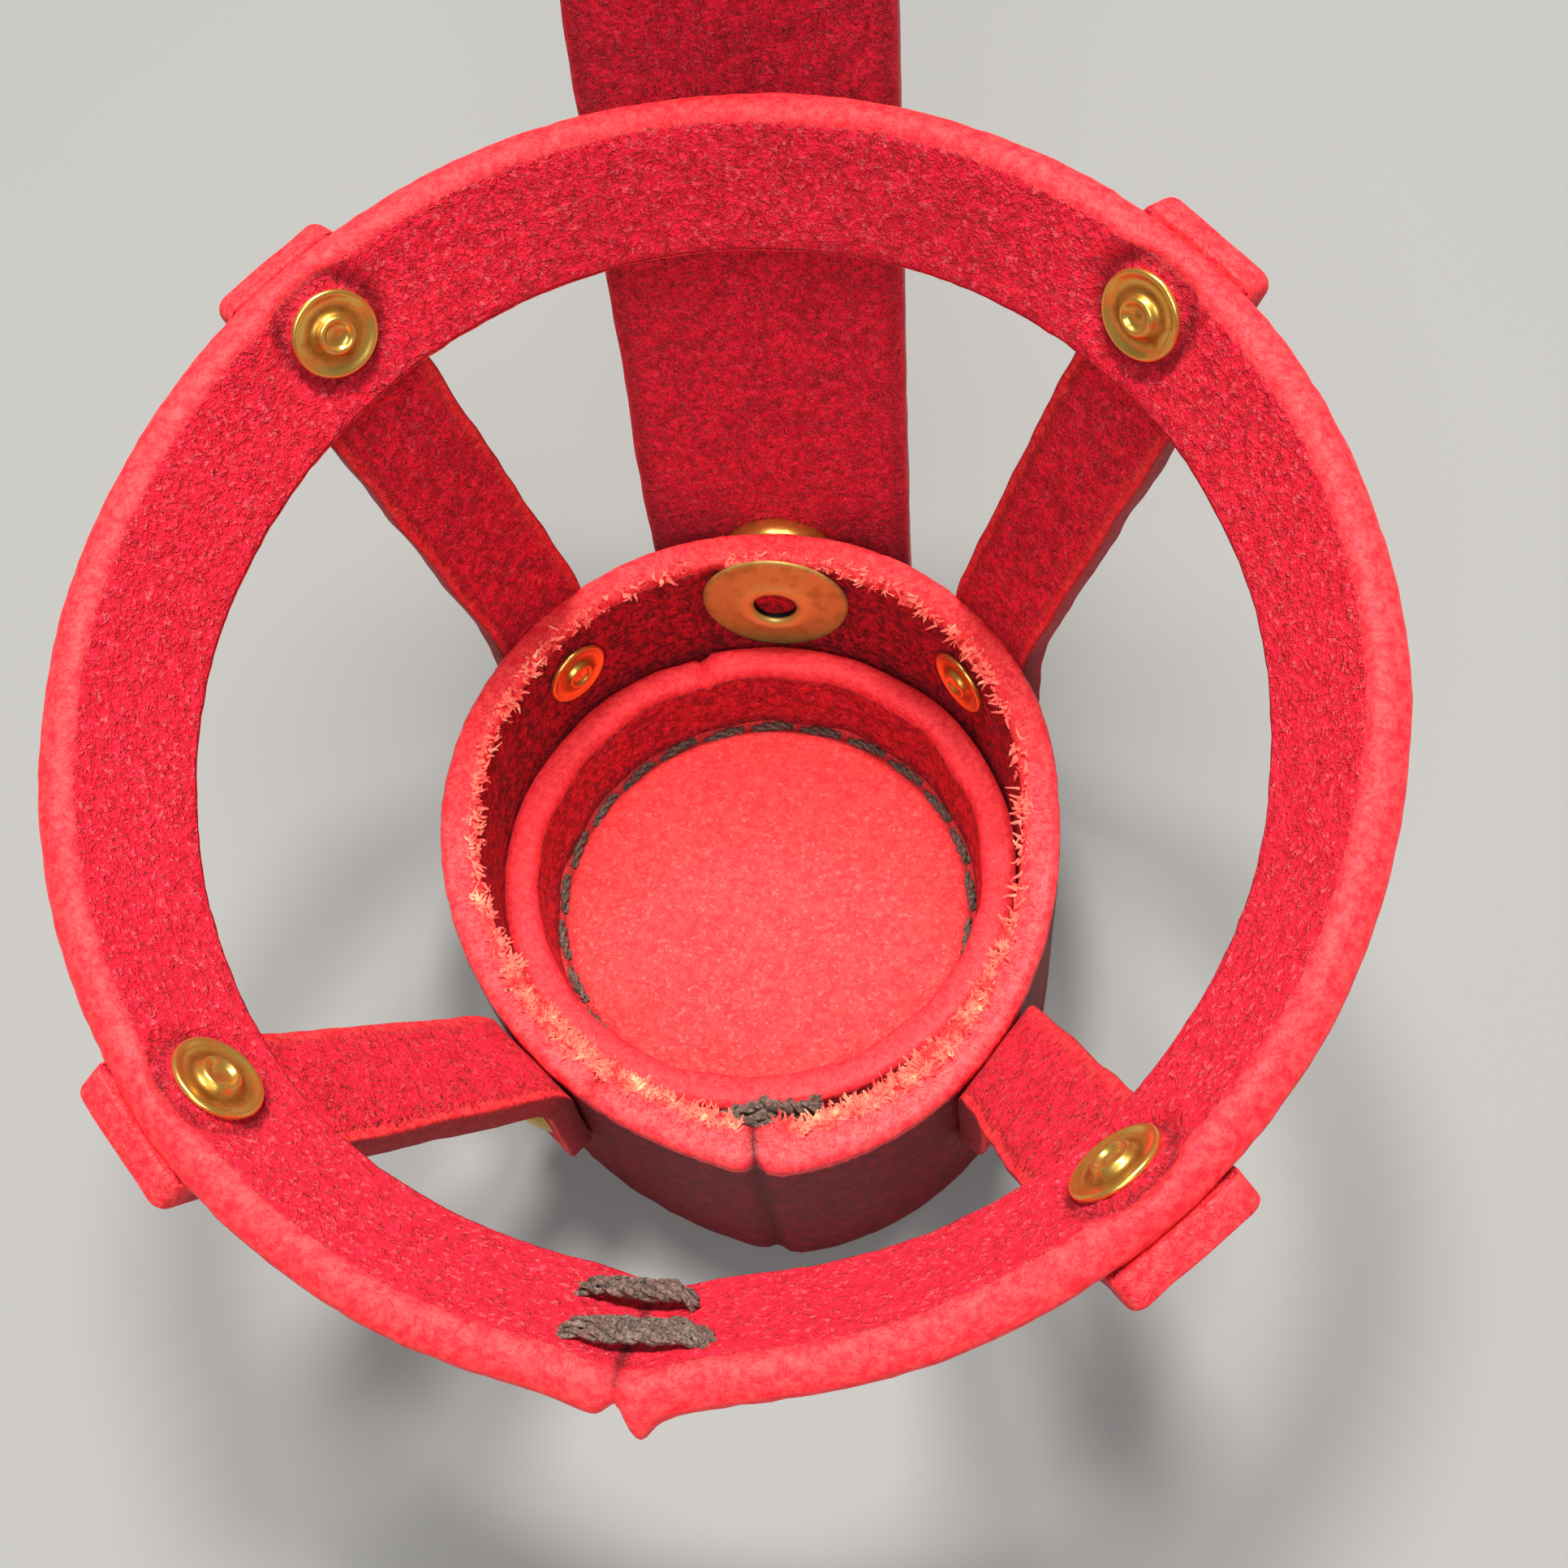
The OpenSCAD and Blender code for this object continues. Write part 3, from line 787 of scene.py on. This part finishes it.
grip = leather["thick"] + leather["strapThick"]
for i, name in enumerate(corners):
    inwards = moved(0, 0, -leather["thick"])
    makeRivet("hoop_" + name, ["hoop_rivet_post_" + name, "hoop_rivet_cap_" + name],
              onHoop(hoop["rivets"][i], hoop["rivetDrop"]) @ inwards, grip, "carrier")
    makeRivet("cup_" + name, ["cup_rivet_post_" + name, "cup_rivet_cap_" + name],
              onCup(cup["rivets"][i], cup["rivetHeight"]) @ inwards, grip, "carrier")
for side, name in ((-1, "left"), (1, "right")):
    makeRivet("loop_" + name, ["loop_rivet_post_" + name, "loop_rivet_cap_" + name],
              moved(side * hanger["rivetX"], loopFront, hanger["rivetHeight"]) @ turned(-90, "X"),
              2 * hanger["thick"], "hanger")
print("rivets made")


# the press stud: eyelet and stud on the cup, spring, socket and cap on the hanger
stud = {"gap": 2.6, "eyelet": 7.0, "springReach": 3.35, "springHeight": 1.3, "springWire": 0.3}


def makeSnap():
    where, t, gap = onCup(0, cup["rivetHeight"]), hanger["thick"], stud["gap"]
    wall, edge = -leather["thick"], stud["eyelet"]
    eyelet = [(1.9, wall + 0.6), (1.92, wall), (2.0, wall - 0.35), (2.16, wall - 0.62),
              (2.4, wall - 0.82), (2.7, wall - 0.92), (3.0, wall - 0.92), (3.35, wall - 0.84),
              (3.7, wall - 0.72), (4.2, wall - 0.6), (5.2, wall - 0.48), (6.3, wall - 0.36),
              (edge - 0.25, wall - 0.3), (edge - 0.06, wall - 0.2), (edge, wall - 0.08),
              (edge - 0.1, wall), (2.1, wall), (2.1, 0.9), (2.05, 1.0), (1.95, 1.0), (1.9, 0.9)]
    # painted shade: the tube down the eyelet's hole is near-black; the flange's outer part gets
    # tarnish
    bm = spunMetal(eyelet, where, lambda r, z:
                   2.0 if r < 2.1 and z > wall - 0.5 else 0.6 * eased((r - 3.2) / 0.8), 96, True)
    finishPiece("snap_eyelet_brass", bm, redBrass, "carrier", ["snap_eyelet"])

    post = [(2.15, 0), (4.55, 0), (4.6, 0.1), (4.5, 0.35), (4.3, 0.42), (2.95, 0.48),
            (2.78, 0.6), (2.75, 1.45), (2.9, 1.6), (2.95, 1.75), (2.88, 1.9), (2.7, 2), (2.3, 2),
            (2.15, 1.9)]
    bm = spunMetal(post, where, lambda r, z: 0.3, closed=True)
    finishPiece("snap_stud_brass", bm, brass, "carrier", ["snap_stud"])

    bm = bmesh.new()
    path = [turned(a, "Z") @ Vector((stud["springReach"], 0, stud["springHeight"]))
            for a in range(20, 341, 8)]
    tube(bm, path, [stud["springWire"]] * len(path), 12)
    closeUp(bm)
    paint(bm, "deep", lambda co: 0.2)
    bmesh.ops.transform(bm, matrix=where, verts=bm.verts)
    finishPiece("snap_spring_brass", bm, brass, "snap_ring", ["snap_spring"])

    socket = [(3.35, 0.55), (5.3, 0.55), (5.55, 0.65), (5.7, 0.9), (5.7, gap - 0.1), (5.6, gap),
              (2, gap), (2, gap - 0.3), (4.3, gap - 0.3), (4.3, 0.9), (3.4, 0.9), (3.3, 0.8),
              (3.3, 0.62)]
    bm = spunMetal(socket, where, lambda r, z: 0.3, closed=True)
    finishPiece("snap_socket_brass", bm, brass, "hanger", ["snap_socket"])

    cap = [(0, t + 0.3), (1.5, t + 0.3), (1.5, -0.3), (1.9, -0.3), (1.9, t), (6.7, t),
           (6.88, t + 0.05), (6.92, t + 0.2), (6.8, t + 0.42), (6.3, t + 0.7), (5.5, t + 1.0),
           (4.2, t + 1.3), (3, t + 1.48), (1.5, t + 1.58), (0, t + 1.6)]
    # painted shade: the cap's post, seen down the hole, is near-black
    bm = spunMetal(cap, where @ moved(0, 0, gap),
                   lambda r, z: 2.0 if z < t + 0.4 and r < 1.95 else 0.0, 96)
    finishPiece("snap_cap_brass", bm, brass, "hanger", ["snap_cap"])


makeSnap()
print("press stud made")


def makeHoopStitches():
    bm = bmesh.new()
    depth = leather["thick"] + 0.42
    rows = zip(hoop["stitchDrops"], hoop["stitchLengths"], hoop["stitchTurns"])
    for drop, length, middle in rows:
        for strand in range(4):
            rise, slip = random.uniform(-0.15, 0.3), random.uniform(-0.5, 0.5)
            path = []
            for k in range(17):
                part = k / 16
                turn = middle + (part - 0.5) * (length + slip) / 44 * 57.3
                down = drop + (strand - 1.5) * 0.42 + 0.22 * math.sin(part * 7 + strand * 2.1)
                sink = 0.9 * (abs(part - 0.5) * 2) ** 6
                path.append(onHoop(turn, down) @ Vector((0, 0, -depth - rise + sink)))
            twistedThread(bm, path, hoop["threadRadius"], 2.4 + strand * 0.3, fray=0.6)
    closeUp(bm)
    finishPiece("hoop_seam_threads", bm, thread, "carrier",
                ["hoop_seam_stitching"])


def makeCupSeamThreads():
    bm = bmesh.new()
    out = turned(cup["seamTurn"] - 180, "Z") @ Vector((0, 1, 0))
    side = Vector((-out.y, out.x, 0))
    apex = cup["inner"] * cup["reach"] / cup["outer"]
    for height, strands in cup["seamRows"]:
        for strand in range(strands):
            path = []
            for k in range(19):
                part = k / 18 * 2 - 1
                across = part * random.uniform(4.3, 4.5) + 0.9
                back = 0.9 + 0.5 * (strand % 3) + 0.5 * part
                back += 0.45 * math.sin(part * 4 + strand * 1.7)
                up = height + 0.55 * (strand // 2) + 0.4 * math.cos(part * 5 + strand * 2.3)
                path.append(Vector((0, cup["back"], up)) + out * (apex - back) + side * across)
            twistedThread(bm, path, 0.55, 2.4, fray=0.8)
    closeUp(bm)
    finishPiece("cup_seam_threads", bm, thread, "carrier",
                ["cup_seam_stitching"])


makeHoopStitches()
makeCupSeamThreads()
print("seam threads made")


# frayed fibres along the inner edge of the cup's rim
fray = {"clumps": 560, "perClump": 6, "length": (0.4, 1.3), "radius": 0.22}


def sliver(bm, root, heading, length, radius):
    # a bent, tapering three-sided splinter
    made = bmesh.ops.create_circle(bm, cap_ends=True, segments=3, radius=radius,
                                   matrix=ringOn(root, heading))
    face = [made["verts"][0].link_faces[0]]
    for k in range(3):
        grown = bmesh.ops.extrude_face_region(bm, geom=face)["geom"]
        face = [g for g in grown if isinstance(g, bmesh.types.BMFace)]
        verts = [g for g in grown if isinstance(g, bmesh.types.BMVert)]
        heading = (heading + Vector([random.uniform(-0.55, 0.55) for _ in range(3)])).normalized()
        bmesh.ops.translate(bm, vec=heading * length / 3, verts=verts)
        middle = sum((v.co for v in verts), Vector()) / 3
        bmesh.ops.scale(bm, vec=(0.68, 0.68, 0.68), verts=verts, space=Matrix.Translation(-middle))


def makeFray():
    bm = bmesh.new()
    for _ in range(fray["clumps"]):
        turn = random.choice((random.uniform(-180, 180), random.gauss(150, 17),
                              random.gauss(-150, 17)))  # thickest either side of the seam
        if abs(apart(turn, 180 - cup["seamTurn"])) < 4:
            continue
        front = hump(apart(turn, 150), 28) + hump(apart(turn, -150), 28)
        for _ in range(fray["perClump"]):
            t = turn + random.uniform(-2.2, 2.2)
            inward = random.uniform(-0.9, 0.25) - front * random.uniform(0, 1.0)
            frame = onCup(t, cup["height"] - (0.12 if inward < -0.3 else random.uniform(0.2, 1.0)))
            inside = cup["inner"] * wallReach(t) / cup["outer"] - wallReach(t)
            backward = 0.8 * max(0.0, math.cos(math.radians(t))) ** 2
            root = frame @ Vector((0, 0, inside - inward * 0.9 + backward))
            out = frame.to_3x3() @ Vector((0, 0, 1))
            heading = -out * random.uniform(0.3, 1.0)
            heading += Vector([random.uniform(-1.1, 1.1) for _ in range(3)])
            heading.z = abs(heading.z) * 0.5 - 0.1
            sliver(bm, root, heading.normalized(), random.uniform(*fray["length"]),
                   fray["radius"] * random.uniform(0.6, 1.6))
    bmesh.ops.recalc_face_normals(bm, faces=bm.faces)
    finishPiece("cup_rim_fray", bm, fibre, "carrier")


makeFray()
print("rim fray made")


# metres from here on
studio = {
    "floor": rgb(136, 136, 134), "floorSize": 1.5, "sky": (0.9, 0.93, 1.0, 1), "skyPower": 0.22,
    "warm": (1.0, 0.97, 0.93), "white": (1, 1, 1), "lens": 43.9, "sensor": 36.0, "nearest": 0.01,
    "eye": (0.02187, -0.07715, 0.17002), "right": (0.99309, 0.08587, -0.07994),
    "down": (0.03729, -0.87706, -0.47893), "ahead": (-0.11124, 0.47264, -0.87421),
}
# each light's place, aim, size in metres, power in watts and tint
lights = {
    "key left": ((-0.09, 0.15, 0.75), (0, -0.01, 0.04), 0.15, 6.0, "warm"),
    "key right": ((0.11, 0.15, 0.75), (0, -0.01, 0.04), 0.15, 5.5, "warm"),
    "front fill": ((0.05, -0.45, 0.60), (0, 0, 0.06), 0.45, 3.4, "white"),
}


def makeFloor():
    bm = bmesh.new()
    bmesh.ops.create_grid(bm, x_segments=2, y_segments=2, size=studio["floorSize"])
    mesh = bpy.data.meshes.new("floor")
    bm.to_mesh(mesh)
    bm.free()
    made = Finish("pale floor")
    mesh.materials.append(made.set(Base_Color=studio["floor"], Roughness=0.9,
                                   Specular_IOR_Level=0.2))
    floor = bpy.data.objects.new("floor", mesh)
    bpy.context.scene.collection.objects.link(floor)


def addLight(name, place, aim, size, power, tint):
    lamp = bpy.data.lights.new(name, "AREA")
    lamp.shape, lamp.size, lamp.energy, lamp.color = "DISK", size, power, studio[tint]
    light = bpy.data.objects.new(name, lamp)
    light.location = place
    light.rotation_euler = (Vector(aim) - Vector(place)).to_track_quat("-Z", "Y").to_euler()
    bpy.context.scene.collection.objects.link(light)


def addWorld():
    world = bpy.data.worlds.new("studio")
    bpy.context.scene.world = world
    world.use_nodes = True
    sky = world.node_tree.nodes["Background"]
    sky.inputs["Color"].default_value = studio["sky"]
    sky.inputs["Strength"].default_value = studio["skyPower"]


def addCamera():
    view = bpy.data.cameras.new("camera")
    view.lens, view.sensor_width = studio["lens"], studio["sensor"]
    view.clip_start = studio["nearest"]
    camera = bpy.data.objects.new("camera", view)
    right, down, ahead = (Vector(studio[word]) for word in ("right", "down", "ahead"))
    facing = Matrix((right, -down, -ahead)).transposed().to_4x4()
    camera.matrix_world = Matrix.Translation(studio["eye"]) @ facing
    bpy.context.scene.collection.objects.link(camera)
    bpy.context.scene.camera = camera
    bpy.context.scene.view_settings.view_transform = "Standard"


makeFloor()
for name, values in lights.items():
    addLight(name, *values)
addWorld()
addCamera()
print("floor, lights and camera made")
